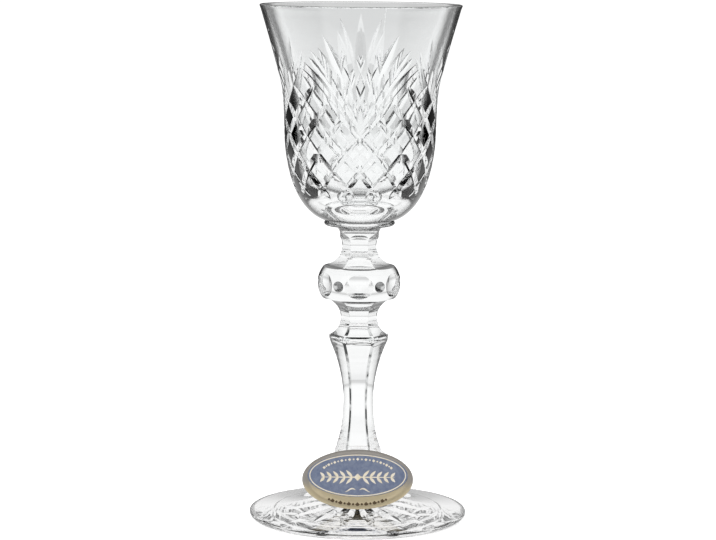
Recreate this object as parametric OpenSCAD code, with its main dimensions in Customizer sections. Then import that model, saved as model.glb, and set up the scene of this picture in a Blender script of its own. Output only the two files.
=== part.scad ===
// A cut-crystal cordial glass with a bell bowl, a knopped and faceted stem and a round foot.
// It stands on Z = 0 with its axis on Z, and its front faces -Y. Sizes are in millimetres.

/* [Whole glass] */
// Number of flat sides ground on the stem
stem_sides = 6; // [5:1:8]

/* [Bowl] */
// Height of the bowl, from its seat on the collar to the rim
bowl_h = 55.4; // [52:0.1:58]
// Outer diameter at the rim
rim_d = 51.8; // [50:0.1:55]
// Outer diameter at the waist of the bell
waist_d = 39; // [37:0.1:41]
// Diameter of the pad that is fused to the collar
bowl_seat_d = 17.2; // [15:0.1:18]
// Glass thickness at the rim
lip_wall = 1.2; // [1:0.05:1.6]
// Glass thickness at the waist
waist_wall = 2.4; // [2.1:0.05:3]
// Glass thickness of the bowl's floor, on the axis
bowl_floor = 4.2; // [3:0.1:6]

/* [Bowl cutting] */
// Number of fans round the bowl, each over one valley of the lattice
fan_count = 4; // [3:1:5]
// Leaves in one fan, counted on each side of the middle one
side_leaves = 3; // [2:1:3]
// Depth of a leaf at its middle
leaf_depth = 0.95; // [0.6:0.05:1.1]
// Depth of the lattice's border groove
line_depth = 0.5; // [0.4:0.05:0.7]
// Distance from the rim down to the tip of the middle leaf
leaf_tip_drop = 4.8; // [3.5:0.1:8]
// Distance from the rim down to the peaks of the lattice
peak_drop = 15; // [13.5:0.1:17]
// Height of the lattice from its valleys to its peaks
valley_h = 17.6; // [16:0.1:19]

/* [Collar] */
// Diameter of the collar between bowl and stem
collar_d = 18.2; // [17.6:0.1:20]
// Thickness of the collar's disc
collar_t = 1.2; // [0.9:0.05:1.6]
// Height of the collar's tapered boss under the disc
collar_boss_h = 2.1; // [1.8:0.1:2.6]

/* [Knop] */
// Height of the knop piece, necks included
knop_h = 23.3; // [22.5:0.1:24.5]
// Largest diameter of the knop
knop_d = 21.5; // [20:0.1:22]
// Radius of the knop's rounded side, seen from the front
knop_round_r = 6.6; // [6.2:0.1:7]
// Height of the knop's middle above the lower end of the piece
knop_mid_h = 10.5; // [10:0.1:11]
// Distance from the collar's boss down to the narrowest place of the upper neck
knop_neck_drop = 3.3; // [3:0.1:3.6]
// Distance from the knop piece's lower end up to the narrowest place of the lower neck
lower_neck_rise = 1.4; // [1.2:0.1:1.6]
// Distance across the flats of the upper neck at its narrowest
upper_neck_af = 7.6; // [7:0.1:8]
// Distance across the flats of the lower neck at its narrowest
lower_neck_af = 8.1; // [7.5:0.1:8.4]
// Radius of the grinding wheel that shaped the necks' flats
neck_wheel_r = 5.3; // [5:0.05:5.6]
// Depth of the broad hollow on each side of the knop
thumb_depth = 1; // [0.6:0.05:1.1]
// Radius of the ball-shaped wheel that made the broad hollows
thumb_wheel_r = 20; // [16:0.5:30]
// Depth of the small round hollows between the broad ones
dot_depth = 0.6; // [0.4:0.05:0.7]
// Radius of the wheel that made the small hollows
dot_wheel_r = 2.4; // [2:0.1:2.6]

/* [Leg] */
// Height of the leg, from the foot's neck to the knop piece
leg_h = 34; // [33:0.1:35]
// Distance across the flats at the leg's narrowest
leg_waist_af = 6.9; // [6.5:0.1:7.3]
// Height of the narrowest place above the leg's lower end
leg_waist_h = 13; // [12.5:0.1:13.5]
// Radius of the grinding wheel that shaped the leg's long flats
leg_wheel_r = 43.5; // [42:0.5:46]
// Largest diameter at the leg's shoulder
shoulder_d = 15.2; // [14.8:0.1:15.6]

/* [Foot] */
// Height of the foot, from the table to the leg
foot_h = 17; // [16:0.1:18]
// Diameter of the foot
foot_d = 56.7; // [54:0.1:60]
// Height of the foot's outer edge
foot_edge_t = 1.7; // [1.4:0.05:2.2]
// Diameter of the neck that carries the leg
foot_neck_d = 12; // [11.6:0.1:12.4]
// Height of the shallow recess under the foot
foot_recess_h = 0.5; // [0.3:0.05:0.8]
// Width of the ring that the glass stands on
stand_ring_w = 5; // [4:0.1:6]
// Rays in the star cut under the foot
star_rays = 16; // [12:1:18]
// Distance from the axis to the tips of the star
star_tip_r = 20.5; // [18:0.1:21]
// Distance from the axis to the roots of the rays
star_root_r = 4; // [3.6:0.1:5]
// Depth of a ray at its middle
star_depth = 1.2; // [0.8:0.05:1.3]
// Half the opening angle of a ray
star_half_angle = 52; // [45:1:58]

/* [Label] */
// Width of the oval label
label_w = 28.6; // [24:0.1:30]
// Thickness of the label's foil
foil_t = 0.3; // [0.2:0.01:0.4]
// Width of the oval printed panel
panel_w = 25.8; // [20:0.1:26.4]
// Height of the printed panel
panel_h = 11.4; // [9:0.1:12.4]
// Distance that the panel sits above the label's middle
panel_rise = 1; // [0.2:0.05:1.2]
// Thickness of the printed panel on the foil
print_t = 0.12; // [0.08:0.01:0.2]
// Distance from the axis to the label's lower edge, where it stands on the foot
label_foot_r = 13; // [12.4:0.1:13.6]
// Height of the label's upper edge above the leg's lower end
label_up_leg = 1.5; // [1:0.1:2]

/* [Hidden] */
$fn = 72;
// Finer rounding for the large grinding wheels.
wheel_fn = 360;

crystal = [0.93, 0.96, 0.97, 0.45];
foil_gold = [0.78, 0.68, 0.5];
print_blue = [0.4, 0.46, 0.66];

// One overrun lets every cut pass cleanly through a face.
overrun = 1;
// Gap that the label's adhesive takes up.
adhesive_t = 0.06;

// Heights of the fused seams, from the table up.
leg_z = foot_h;
knop_z = leg_z + leg_h;
collar_z = knop_z + knop_h;
bowl_z = collar_z + collar_boss_h + collar_t;
glass_h = bowl_z + bowl_h;

// Turns the first flat of the stem to the front.
front_turn = -90;
side_angle = 360 / stem_sides;

// Places along a cubic curve through four control points.
function curve(p, t) =
    pow(1 - t, 3) * p[0] + 3 * t * pow(1 - t, 2) * p[1]
    + 3 * t * t * (1 - t) * p[2] + pow(t, 3) * p[3];
function curve_points(p, steps, first = 0) =
    [for (i = [first:steps]) curve(p, i / steps)];

// Height at which a rising outline reaches a radius, and the other way round.
function height_at(pts, r, i = 0) =
    i >= len(pts) - 2 || (pts[i][0] - r) * (pts[i + 1][0] - r) <= 0
    ? let (s = (r - pts[i][0]) / (pts[i + 1][0] - pts[i][0]))
        pts[i][1] + s * (pts[i + 1][1] - pts[i][1])
    : height_at(pts, r, i + 1);
function radius_at(pts, z, i = 0) =
    i >= len(pts) - 2 || (pts[i][1] - z) * (pts[i + 1][1] - z) <= 0
    ? let (s = (z - pts[i][1]) / (pts[i + 1][1] - pts[i][1]))
        pts[i][0] + s * (pts[i + 1][0] - pts[i][0])
    : radius_at(pts, z, i + 1);

// The bell's outline: a full lower curve up to the waist, then a flare to the rim.
rim_r = rim_d / 2;
waist_r = waist_d / 2;
seat_r = bowl_seat_d / 2;
waist_h_share = 0.45;
waist_z = bowl_z + bowl_h * waist_h_share;
outline_steps = 5;
lower_h = waist_z - bowl_z;
upper_h = glass_h - waist_z;
belly_reach_share = 0.56;
belly_rise_share = 0.07;
belly_top_share = 0.4;
flare_low_share = 0.33;
flare_high_share = 0.66;
flare_reach_share = 0.54;
outer_lower = curve_points([
    [seat_r, bowl_z],
    [seat_r + (waist_r - seat_r) * belly_reach_share, bowl_z + lower_h * belly_rise_share],
    [waist_r, bowl_z + lower_h * belly_top_share],
    [waist_r, waist_z]], outline_steps);
outer_upper = curve_points([
    [waist_r, waist_z],
    [waist_r, waist_z + upper_h * flare_low_share],
    [waist_r + (rim_r - waist_r) * flare_reach_share, waist_z + upper_h * flare_high_share],
    [rim_r, glass_h]], outline_steps, 1);
bowl_outline = concat(outer_lower, outer_upper);

inner_waist_r = waist_r - waist_wall;
inner_rim_r = rim_r - lip_wall;
floor_z = bowl_z + bowl_floor;
floor_reach_share = 0.68;
inner_lower = curve_points([
    [0, floor_z],
    [inner_waist_r * floor_reach_share, floor_z],
    [inner_waist_r, bowl_z + lower_h * belly_top_share + waist_wall / 2],
    [inner_waist_r, waist_z]], outline_steps);
inner_upper = curve_points([
    [inner_waist_r, waist_z],
    [inner_waist_r, waist_z + upper_h * flare_low_share],
    [inner_waist_r + (inner_rim_r - inner_waist_r) * flare_reach_share,
        waist_z + upper_h * flare_high_share],
    [inner_rim_r, glass_h]], outline_steps, 1);
bowl_cavity = concat(inner_lower, inner_upper);

// Half the opening angle of a V groove, as the mitre wheel was dressed.
groove_half_angle = 58;
groove_slope = tan(groove_half_angle);

// A point of the bowl's outer face at an angle and a height, sunk by a depth along the normal.
function bowl_slope(z) =
    (radius_at(bowl_outline, z + line_depth) - radius_at(bowl_outline, z - line_depth))
    / (2 * line_depth);
function bowl_point(angle, z, depth = 0) =
    let (
        slope = bowl_slope(z),
        tilt = atan(slope),
        r = radius_at(bowl_outline, z) - depth * cos(tilt))
    [r * cos(angle), r * sin(angle), z + depth * sin(tilt)];

// The circle through three points: its centre, radius and the axes of its plane.
function unit(v) = v / norm(v);
function circle_centre(a, b, c) =
    let (u = b - a, v = c - a, w = cross(u, v))
    a + (cross(w, u) * (v * v) + cross(v, w) * (u * u)) / (2 * w * w);

// Lays a shape made round Z with its zero angle on X into the plane of such a circle.
module in_circle_plane(centre, towards, normal) {
    x = unit(towards - centre);
    z = unit(normal);
    y = cross(z, x);
    multmatrix([
        [x[0], y[0], z[0], centre[0]],
        [x[1], y[1], z[1], centre[1]],
        [x[2], y[2], z[2], centre[2]],
        [0, 0, 0, 1]])
        children();
}

// The mark of a V-edged wheel, along the arc through three points. It always opens outwards,
// whether the arc curves with the bowl or against it.
module groove_cutter(start, middle, end, depth) {
    centre = circle_centre(start, middle, end);
    r = norm(middle - centre);
    opens = (centre - middle) * [middle[0], middle[1], 0] > 0 ? -1 : 1;
    reach = depth + overrun;
    span = 2 * asin(norm(end - start) / (2 * r));
    in_circle_plane(centre, middle, cross(start - centre, end - centre))
        rotate([0, 0, -span / 2])
            rotate_extrude(angle = span)
                polygon([
                    [r, 0],
                    [r + opens * reach, reach * groove_slope],
                    [r + opens * reach, -reach * groove_slope]]);
}

// The lattice's zigzag top has its peaks between the fans and its valleys under them.
fan_angle = 360 / fan_count;
peak_z = glass_h - peak_drop;
valley_z = peak_z - valley_h;

// Fans of leaves spread from a point just above each valley. The first entry is the middle leaf.
leaf_angle_shares = [0, 0.31, 0.62, 0.9];
leaf_tip_shares = [1, 0.965, 0.81, 0.675];
leaf_root_shares = [0.12, 0.13, 0.15, 0.19];
leaf_depth_shares = [1, 1, 0.95, 0.75];
fan_h = glass_h - leaf_tip_drop - valley_z;

module fan_leaf(i, side) {
    low_z = valley_z + fan_h * leaf_root_shares[i];
    high_z = valley_z + fan_h * leaf_tip_shares[i];
    high_angle = side * fan_angle / 2 * leaf_angle_shares[i];
    low_angle = high_angle * leaf_root_shares[i] / leaf_tip_shares[i];
    depth = leaf_depth * leaf_depth_shares[i];
    groove_cutter(
        bowl_point(low_angle, low_z),
        bowl_point((low_angle + high_angle) / 2, (low_z + high_z) / 2, depth),
        bowl_point(high_angle, high_z),
        depth);
}

// The lattice's upper border: a V groove on each side of a peak, down to the valleys.
module border_line(side) {
    groove_cutter(
        bowl_point(0, valley_z, line_depth),
        bowl_point(side * fan_angle / 4, (valley_z + peak_z) / 2, line_depth),
        bowl_point(side * fan_angle / 2, peak_z, line_depth),
        line_depth);
}

module bowl_cuts() {
    for (f = [0:fan_count - 1])
        rotate([0, 0, front_turn + f * fan_angle]) {
            fan_leaf(0, 1);
            for (i = [1:side_leaves], side = [-1, 1])
                fan_leaf(i, side);
            for (side = [-1, 1])
                border_line(side);
        }
}

module bowl() {
    color(crystal)
        difference() {
            rotate_extrude()
                polygon(concat([[0, bowl_z]], bowl_outline));
            rotate_extrude()
                polygon(concat(bowl_cavity, [[inner_rim_r, glass_h + overrun], [0, glass_h + overrun]]));
            bowl_cuts();
        }
}

// Radius of the knop's and the necks' blanks at the seams, before the flats are ground.
upper_seam_r = 5;
lower_seam_r = 5.6;

module collar() {
    edge = collar_t * 0.25;
    color(crystal)
        rotate_extrude()
            polygon([
                [0, collar_z],
                [upper_seam_r, collar_z],
                [upper_seam_r + collar_boss_h * 0.3, collar_z + collar_boss_h * 0.6],
                [upper_seam_r + collar_boss_h, collar_z + collar_boss_h],
                [collar_d / 2 - edge, collar_z + collar_boss_h],
                [collar_d / 2, collar_z + collar_boss_h + collar_t / 2],
                [collar_d / 2 - edge, bowl_z],
                [0, bowl_z]]);
}

// Hollow flats round the stem: a wheel laid across each side at the height of the narrowest place.
module ring_of_flats(across_flats, wheel_r, z, wheel_w) {
    for (i = [0:stem_sides - 1])
        rotate([0, 0, front_turn + i * side_angle])
            translate([across_flats / 2 + wheel_r, 0, z])
                rotate([90, 0, 0])
                    cylinder(r = wheel_r, h = wheel_w, center = true, $fn = wheel_fn);
}

upper_neck_z = collar_z - knop_neck_drop;
lower_neck_z = knop_z + lower_neck_rise;
leg_waist_z = leg_z + leg_waist_h;

module upper_neck_flats() ring_of_flats(upper_neck_af, neck_wheel_r, upper_neck_z, knop_d);
module lower_neck_flats() ring_of_flats(lower_neck_af, neck_wheel_r, lower_neck_z, knop_d);
module leg_flats() ring_of_flats(leg_waist_af, leg_wheel_r, leg_waist_z, shoulder_d * 1.4);

module knop_blank() {
    mid_z = knop_z + knop_mid_h;
    ring_r = knop_d / 2 - knop_round_r;
    rotate_extrude()
        union() {
            translate([0, knop_z])
                square([lower_seam_r, knop_mid_h]);
            translate([0, mid_z])
                square([upper_seam_r, knop_h - knop_mid_h]);
            intersection() {
                translate([ring_r, mid_z])
                    circle(r = knop_round_r);
                translate([0, mid_z - knop_round_r])
                    square([knop_d, 2 * knop_round_r]);
            }
            translate([0, mid_z - knop_round_r])
                square([ring_r, 2 * knop_round_r]);
        }
}

module knop() {
    color(crystal)
        difference() {
            knop_blank();
            upper_neck_flats();
            lower_neck_flats();
            for (i = [0:stem_sides - 1])
                rotate([0, 0, front_turn + i * side_angle]) {
                    translate([knop_d / 2 - thumb_depth + thumb_wheel_r, 0, knop_z + knop_mid_h])
                        sphere(r = thumb_wheel_r);
                    rotate([0, 0, side_angle / 2])
                        translate([knop_d / 2 - dot_depth + dot_wheel_r, 0, knop_z + knop_mid_h])
                            sphere(r = dot_wheel_r);
                }
        }
}

module leg() {
    color(crystal)
        difference() {
            rotate_extrude()
                polygon([
                    [0, leg_z],
                    [foot_neck_d / 2, leg_z],
                    [shoulder_d / 2, leg_z + leg_waist_h],
                    [shoulder_d / 2, knop_z - lower_neck_rise],
                    [lower_seam_r, knop_z],
                    [0, knop_z]]);
            lower_neck_flats();
            leg_flats();
        }
}

foot_r = foot_d / 2;
foot_neck_reach = 0.3;
ray_overrun = 0.1;
foot_slope_steps = 8;
foot_slope = curve_points([
    [foot_r - foot_edge_t * 0.3, foot_edge_t],
    [foot_r * 0.39, foot_edge_t * 1.9],
    [foot_neck_d / 2 + foot_neck_reach, foot_edge_t * 2.65],
    [foot_neck_d / 2, leg_z]], foot_slope_steps);

// One ray of the star: a cut that is pointed at both ends and deepest in the middle.
module star_ray() {
    low_z = foot_recess_h - ray_overrun;
    middle_r = (star_root_r + star_tip_r) / 2;
    half_w = (star_depth + ray_overrun) * tan(star_half_angle);
    polyhedron(
        points = [
            [star_root_r, 0, low_z],
            [middle_r, -half_w, low_z],
            [star_tip_r, 0, low_z],
            [middle_r, half_w, low_z],
            [middle_r, 0, foot_recess_h + star_depth]],
        faces = [[0, 1, 2, 3], [1, 0, 4], [2, 1, 4], [3, 2, 4], [0, 3, 4]]);
}

module foot() {
    recess_r = foot_r - stand_ring_w - foot_edge_t;
    color(crystal)
        difference() {
            rotate_extrude()
                polygon(concat(
                    [[0, 0], [foot_r - foot_edge_t, 0], [foot_r - foot_edge_t * 0.3, foot_edge_t * 0.2],
                        [foot_r, foot_edge_t * 0.5]],
                    foot_slope,
                    [[0, leg_z]]));
            translate([0, 0, -overrun])
                cylinder(r1 = recess_r + overrun, r2 = recess_r - foot_recess_h, h = overrun + foot_recess_h);
            intersection() {
                leg_flats();
                translate([0, 0, leg_z - foot_neck_d / 2])
                    cylinder(r = foot_r, h = foot_neck_d);
            }
            for (i = [0:star_rays - 1])
                rotate([0, 0, front_turn + (i + 0.5) * 360 / star_rays])
                    star_ray();
        }
}

// The label's plane rises from the foot's slope to the leg's front flat.
label_low = [-label_foot_r, height_at(foot_slope, label_foot_r) + adhesive_t];
label_top_z = leg_z + label_up_leg;
label_high = [
    -(leg_waist_af / 2 + leg_wheel_r - sqrt(pow(leg_wheel_r, 2) - pow(leg_waist_z - label_top_z, 2)))
        - adhesive_t,
    label_top_z];
label_run = label_high - label_low;
label_len = norm(label_run);
label_lean = atan2(label_run[1], label_run[0]);
oval_points = 72;

module oval(width, height) {
    polygon([for (i = [0:oval_points - 1])
        [width / 2 * cos(360 * i / oval_points), height / 2 * sin(360 * i / oval_points)]]);
}

// Lays a drawing in the label's plane, with its thickness growing outwards from the back face.
module on_label_plane(lift) {
    translate([0, label_low[0], label_low[1]])
        rotate([label_lean, 0, 0])
            translate([0, label_len / 2, lift])
                children();
}

module label_foil() {
    color(foil_gold)
        on_label_plane(0)
            linear_extrude(height = foil_t)
                oval(label_w, label_len - foil_t);
}

module label_print() {
    color(print_blue)
        on_label_plane(foil_t)
            translate([0, panel_rise, 0])
                linear_extrude(height = print_t)
                    oval(panel_w, panel_h);
}

bowl();
collar();
knop();
leg();
foot();
label_foil();
label_print();
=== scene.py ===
"""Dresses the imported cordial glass: hand-cut lead crystal, a gilt foil seal and a plain white studio."""

import math

import bpy
from mathutils import Matrix, Vector


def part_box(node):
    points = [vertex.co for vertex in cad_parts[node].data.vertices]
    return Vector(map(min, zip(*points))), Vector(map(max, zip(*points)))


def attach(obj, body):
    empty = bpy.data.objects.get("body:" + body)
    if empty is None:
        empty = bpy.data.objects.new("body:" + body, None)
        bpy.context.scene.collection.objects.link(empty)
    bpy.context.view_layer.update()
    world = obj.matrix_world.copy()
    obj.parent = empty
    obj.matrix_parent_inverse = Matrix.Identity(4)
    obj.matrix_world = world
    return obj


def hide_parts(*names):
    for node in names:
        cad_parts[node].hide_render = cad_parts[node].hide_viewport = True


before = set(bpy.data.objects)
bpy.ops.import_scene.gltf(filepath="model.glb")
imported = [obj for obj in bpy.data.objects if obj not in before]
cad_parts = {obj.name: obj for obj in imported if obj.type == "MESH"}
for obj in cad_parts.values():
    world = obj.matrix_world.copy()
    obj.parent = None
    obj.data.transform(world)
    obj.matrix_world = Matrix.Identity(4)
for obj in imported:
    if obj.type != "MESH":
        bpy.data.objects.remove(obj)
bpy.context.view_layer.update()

bl_info = {
    "name": "Cordial glass",
    "version": (1, 0, 0),
    "blender": (4, 5, 0),
    "location": "View3D > Sidebar > Glass",
    "description": "Blows, cuts and polishes a small crystal cordial glass and sets it in a white studio",
    "category": "Object",
}

TAU = 2 * math.pi
BODY = "root"

# The front of the glass faces -Y, so every cut that is counted from the front starts there.
FRONT = -math.pi / 2

# Share of the bowl's height at which the bell is narrowest, and the reach of its two curves.
WAIST_SHARE = 0.45
BELLY_REACH = 0.56
BELLY_RISE = 0.07
BELLY_TOP = 0.4
FLARE_LOW = 0.33
FLARE_HIGH = 0.66
FLARE_REACH = 0.54
FLOOR_REACH = 0.68

# One fan: where the middle leaf and the three on each side start and end, and how deep they go.
LEAF_ANGLES = (0.0, 0.31, 0.62, 0.9)
LEAF_TIPS = (1.0, 0.965, 0.81, 0.675)
LEAF_ROOTS = (0.12, 0.13, 0.15, 0.19)
LEAF_DEPTHS = (1.0, 1.0, 0.95, 0.75)

# The lattice: steps of a line in each direction, and how abruptly its wheel goes in and comes out.
LATTICE_STEPS = ((-1, 48), (1, 43))
LATTICE_ENDS = 14

# How a face of a cut is told: its least tilt against the blown wall, clear of the seat and the lip.
CUT_TILT = math.radians(10)
WALL_MARGIN = 0.001

# How bright the studio's walls are in the glass, from the horizon (0) to straight up (1).
THROUGH_STOPS = ((0.0, 0.86), (0.06, 0.97), (0.45, 0.97), (0.65, 0.0))
MIRROR_STOPS = ((0.0, 0.05), (0.1, 0.1), (0.2, 0.7), (0.5, 0.7), (0.8, 0.05))

# The walls come in pairs, white ones and dark ones, and blend between these values of their wave. The
# dark ones still show a little in mirrored light.
WALL_PAIRS = 2.0
WALL_DARK = -0.5
WALL_WHITE = -0.2
MIRROR_DARK = 0.15

# The card under the glass: its size, how far it lies below the foot, its colour and its own glow.
CARD_SIZE = 12.0
CARD_GAP = 0.00005
CARD_COLOUR = "#F4F4F4"
CARD_GLOW = 0.6

# The light that the studio's white walls throw on everything.
FILL_LIGHT = 0.55

# Distances in metres at which the card starts to follow the walls, and is as dark as they are.
CARD_NEAR = 0.35
CARD_FAR = 0.7

# The card in the glass, seen through it and mirrored: near and far distance, near and far brightness.
CARD_FADES = ((0.6, 1.3, 1.0, 0.66), (0.25, 0.8, 1.0, 0.1))

# Settings and colours that several nodes share.
SMOOTH = {"interpolation_type": "SMOOTHSTEP"}
WHITE = (1, 1, 1, 1)

# Height of the point that the lamps face, in metres.
LAMP_AIM = 0.07

# Cut glass traps light over many bounces, and too few of them would leave it black.
LIGHT_BOUNCES = 32

# The finishes of the crystal, each with painted edge shade that darkens the glass's own colour where a face
# turns from the view: its colour seen straight, the painted dark colour seen edge on, how far a face turns
# away where the painted shade starts and where it is darkest (0 straight, 1 edge on), and how uneven that
# painted shade is.
CRYSTAL_AND_EDGE_SHADE = {
    # The blown skin, with painted shade only near the very edge of its outline.
    "fire-polished": ("#FEFFFF", "#020202", 0.48, 0.72, 0.0),
    # The faces of the cuts, whose painted shade starts sooner.
    "wheel-cut and acid-polished": ("#FEFFFF", "#000000", 0.42, 0.56, 0.0),
    # What the lattice leaves standing, with painted shade that darkens it as soon as the bowl turns away.
    "lattice lozenge": ("#FEFFFF", "#000000", 0.3, 0.5, 0.0),
    # The knop's small hollows, painted grey even seen straight, with painted shade that makes them near
    # black as soon as they turn away.
    "small hollow": ("#C8CACA", "#030303", 0.0, 0.08, 0.15),
    # The leg's arrises, painted a little grey, with painted shade that draws them as dark, uneven lines.
    "rounded arris": ("#EEF0F0", "#050606", 0.02, 0.14, 0.72),
    # The star's rays, with painted shade that draws them as dark strokes through the foot.
    "ground star": ("#FEFEFE", "#0C0D0D", 0.12, 0.5, 0.6),
    # The foot is pressed flat and seen from above, so it stays clear up to its rim, where a grey painted
    # shade sets in.
    "pressed foot": ("#FEFEFE", "#8A8E8E", 0.86, 0.99, 0.0),
}

# The collar's boss, in metres: the radii of the curve that widens it from the knop's upper seam.
BOSS_RADII = (0.005, 0.0053, 0.0064, 0.0071)

# The stem is ground on six sides all the way down.
SIDES = 6

# The knop, in metres: its middle above its lower seam, the radius of its side and its radii at the seams.
KNOP_MIDDLE = 0.0105
KNOP_SIDE = 0.0066
LOW_SEAM = 0.0056
HIGH_SEAM = 0.005

# The necks, ground with one wheel: width across the flats, and distance of the waist from the seam.
NECK_WHEEL = 0.0053
NECK_WHEEL_WIDTH = 0.0215
UPPER_NECK = 0.0076
UPPER_NECK_DROP = 0.0033
LOWER_NECK = 0.0081
LOWER_NECK_RISE = 0.0014

# The broad and the small hollows round the knop: radius of the ball wheel and depth of the cut.
THUMB_WHEEL = 0.02
THUMB_DEPTH = 0.001
DOT_WHEEL = 0.0024
DOT_DEPTH = 0.0006

# The leg: width across the flats at its waist, height of the waist, its wheel, and the blank's radii.
LEG_WAIST = 0.0069
LEG_WAIST_RISE = 0.013
LEG_WHEEL = 0.0435
LEG_WHEEL_WIDTH = 0.02128
LEG_SEAT = 0.006
LEG_BLANK = 0.0076

# The leg's arrises: how sharp an edge has to be to be rounded, how wide the rounding is, and how far it
# keeps from the seams and its dark finish from the shoulder.
SHARP_TURN = math.radians(24)
ARRIS_WIDTH = 0.0005
SEAM_CLEAR = 0.0006
SHOULDER_CLEAR = 0.0007

# The foot's underside: depth of the recess, width of the ring it stands on, and the star in the recess.
RECESS = 0.0005
STAND_RING = 0.005
STAR_RAYS = 16
STAR_ROOT = 0.004
STAR_TIP = 0.0205
STAR_DEPTH = 0.0012
STAR_ANGLE = math.radians(52)

# The seal's ornament, in metres: how deep it sits in the ink and how wide the line round the panel is.
SUNK = 0.00001
RING_WIDTH = 0.00032

# Its garland: half the stem's length, its width, its drop below the panel's middle, the bud in its middle,
# and the leaves, which get shorter towards the ends.
STEM_REACH = 0.0098
STEM_WIDTH = 0.00045
STEM_DROP = 0.0005
BUD_SIZE = 0.0026
LEAF_START = 0.0013
LEAF_PITCH = 0.0018
LEAF_LENGTH = 0.0028
LEAF_SHRINK = 0.00022
LEAF_WIDTH = 0.00095
LEAF_TURN = math.radians(48)

# The flourish under it: drop below the panel's middle, width, and height of its wave.
FLOURISH_DROP = 0.004
FLOURISH_WIDTH = 0.0005
FLOURISH_WAVE = 0.00045

# The marks on the lower band: how high they are and the turn from one to the next.
MARK_HEIGHT = 0.00004
MARK_TURN = 5.2

# How far a cut's tool stands out of the glass, so that no sliver stays in its mouth.
LIFT = 0.0004

# Into how many steps the lathe's turns, the outlines and the cuts are divided.
LATHE_STEPS = 288
STEM_STEPS = 192
OVAL_STEPS = 144
CURVE_STEPS = 26
CUT_STEPS = 32


def length(default, name, description):
    """A property that holds a length in metres."""
    return bpy.props.FloatProperty(name=name, description=description, default=default, unit="LENGTH")


def rotation(degrees, name, description):
    """A property that holds an angle."""
    return bpy.props.FloatProperty(
        name=name, description=description, default=math.radians(degrees), unit="ROTATION")


def count(default, name, description):
    """A property that holds how many of a cut there are."""
    return bpy.props.IntProperty(name=name, description=description, default=default, min=3, max=5)


def hex_colour(default, name, description):
    """A property that holds a colour as an sRGB hex value."""
    return bpy.props.StringProperty(name=name, description=description, default=default)


class GlassSizes(bpy.types.PropertyGroup):
    """Sizes of the blown and fused glass."""

    height: length(0.133, "Height", "Height of the rim above the table")
    bowl_height: length(0.0554, "Bowl height", "Height of the bowl above its seat on the collar")
    rim_diameter: length(0.0518, "Rim diameter", "Outer diameter at the rim")
    waist_diameter: length(0.039, "Waist diameter", "Outer diameter at the waist of the bell")
    seat_diameter: length(0.0172, "Seat diameter", "Diameter of the pad that is fused to the collar")
    lip_wall: length(0.0012, "Lip wall", "Glass thickness at the rim")
    waist_wall: length(0.0024, "Waist wall", "Glass thickness at the waist")
    floor: length(0.0042, "Floor", "Glass thickness of the bowl's floor on the axis")
    collar_diameter: length(0.0182, "Collar diameter", "Diameter of the collar between bowl and stem")
    collar_thickness: length(0.0012, "Collar thickness", "Thickness of the collar's disc")
    boss_height: length(0.0021, "Boss height", "Height of the collar's tapered boss")
    knop_height: length(0.0233, "Knop height", "Height of the knop piece with its two necks")
    knop_diameter: length(0.0215, "Knop diameter", "Largest diameter of the knop")
    leg_height: length(0.034, "Leg height", "Height of the leg between foot and knop")
    foot_diameter: length(0.0567, "Foot diameter", "Diameter of the foot")
    foot_edge: length(0.0017, "Foot edge", "Height of the foot's outer edge")


class CutSizes(bpy.types.PropertyGroup):
    """Sizes of the ground cuts."""

    fans: count(4, "Fans", "Number of leaf fans round the bowl")
    lines: count(4, "Lattice lines", "Lattice lines in each direction for one fan")
    leaf_depth: length(0.00095, "Leaf depth", "Depth of a leaf at its middle")
    line_depth: length(0.0006, "Line depth", "Depth of a lattice line")
    leaf_angle: rotation(61, "Leaf angle", "Half the opening angle of the wheel that cut the leaves")
    line_angle: rotation(58, "Line angle", "Half the opening angle of the wheel that cut the lattice")
    leaf_drop: length(0.0048, "Leaf drop", "Distance from the rim down to the middle leaf")
    peak_drop: length(0.015, "Peak drop", "Distance from the rim down to the lattice's peaks")
    valley_height: length(0.0176, "Valley height", "Height from the lattice's valleys to its peaks")
    lattice_foot: length(0.0066, "Lattice foot", "Height of the lattice's lower end above the seat")


class SealSizes(bpy.types.PropertyGroup):
    """Sizes and colours of the oval seal."""

    width: length(0.0286, "Width", "Width of the foil")
    thickness: length(0.0003, "Thickness", "Thickness of the foil")
    panel_width: length(0.0258, "Panel width", "Width of the printed panel")
    panel_height: length(0.0114, "Panel height", "Height of the printed panel")
    panel_rise: length(0.001, "Panel rise", "Distance of the panel above the seal's middle")
    rim_width: length(0.00052, "Rim width", "Width of the foil's rolled edge")
    press_depth: length(0.00012, "Press depth", "Depth of the line pressed inside the rolled edge")
    ink_thickness: length(0.00008, "Ink thickness", "Height of the printed panel above the foil")
    ornament_height: length(0.00004, "Ornament height", "Height of the gilt ornament above the panel")
    band_low: length(0.0085, "Band low", "Height below which the gilt is warm")
    band_high: length(0.0115, "Band high", "Height above which the gilt is grey")
    gilt: hex_colour("#CDBF9F", "Gilt", "Colour of the gilt foil")
    pale_gilt: hex_colour("#D6CFC2", "Pale gilt", "Colour of the raised ornament")
    upper_gilt: hex_colour("#A6A19B", "Upper gilt", "Colour of the foil's upper rim")
    ink: hex_colour("#5E6880", "Ink", "Colour of the printed panel")
    pale_ink: hex_colour("#777F90", "Pale ink", "Colour where the ink is thin")
    mark_ink: hex_colour("#4C3D29", "Mark ink", "Colour of the marks on the band")


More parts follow.
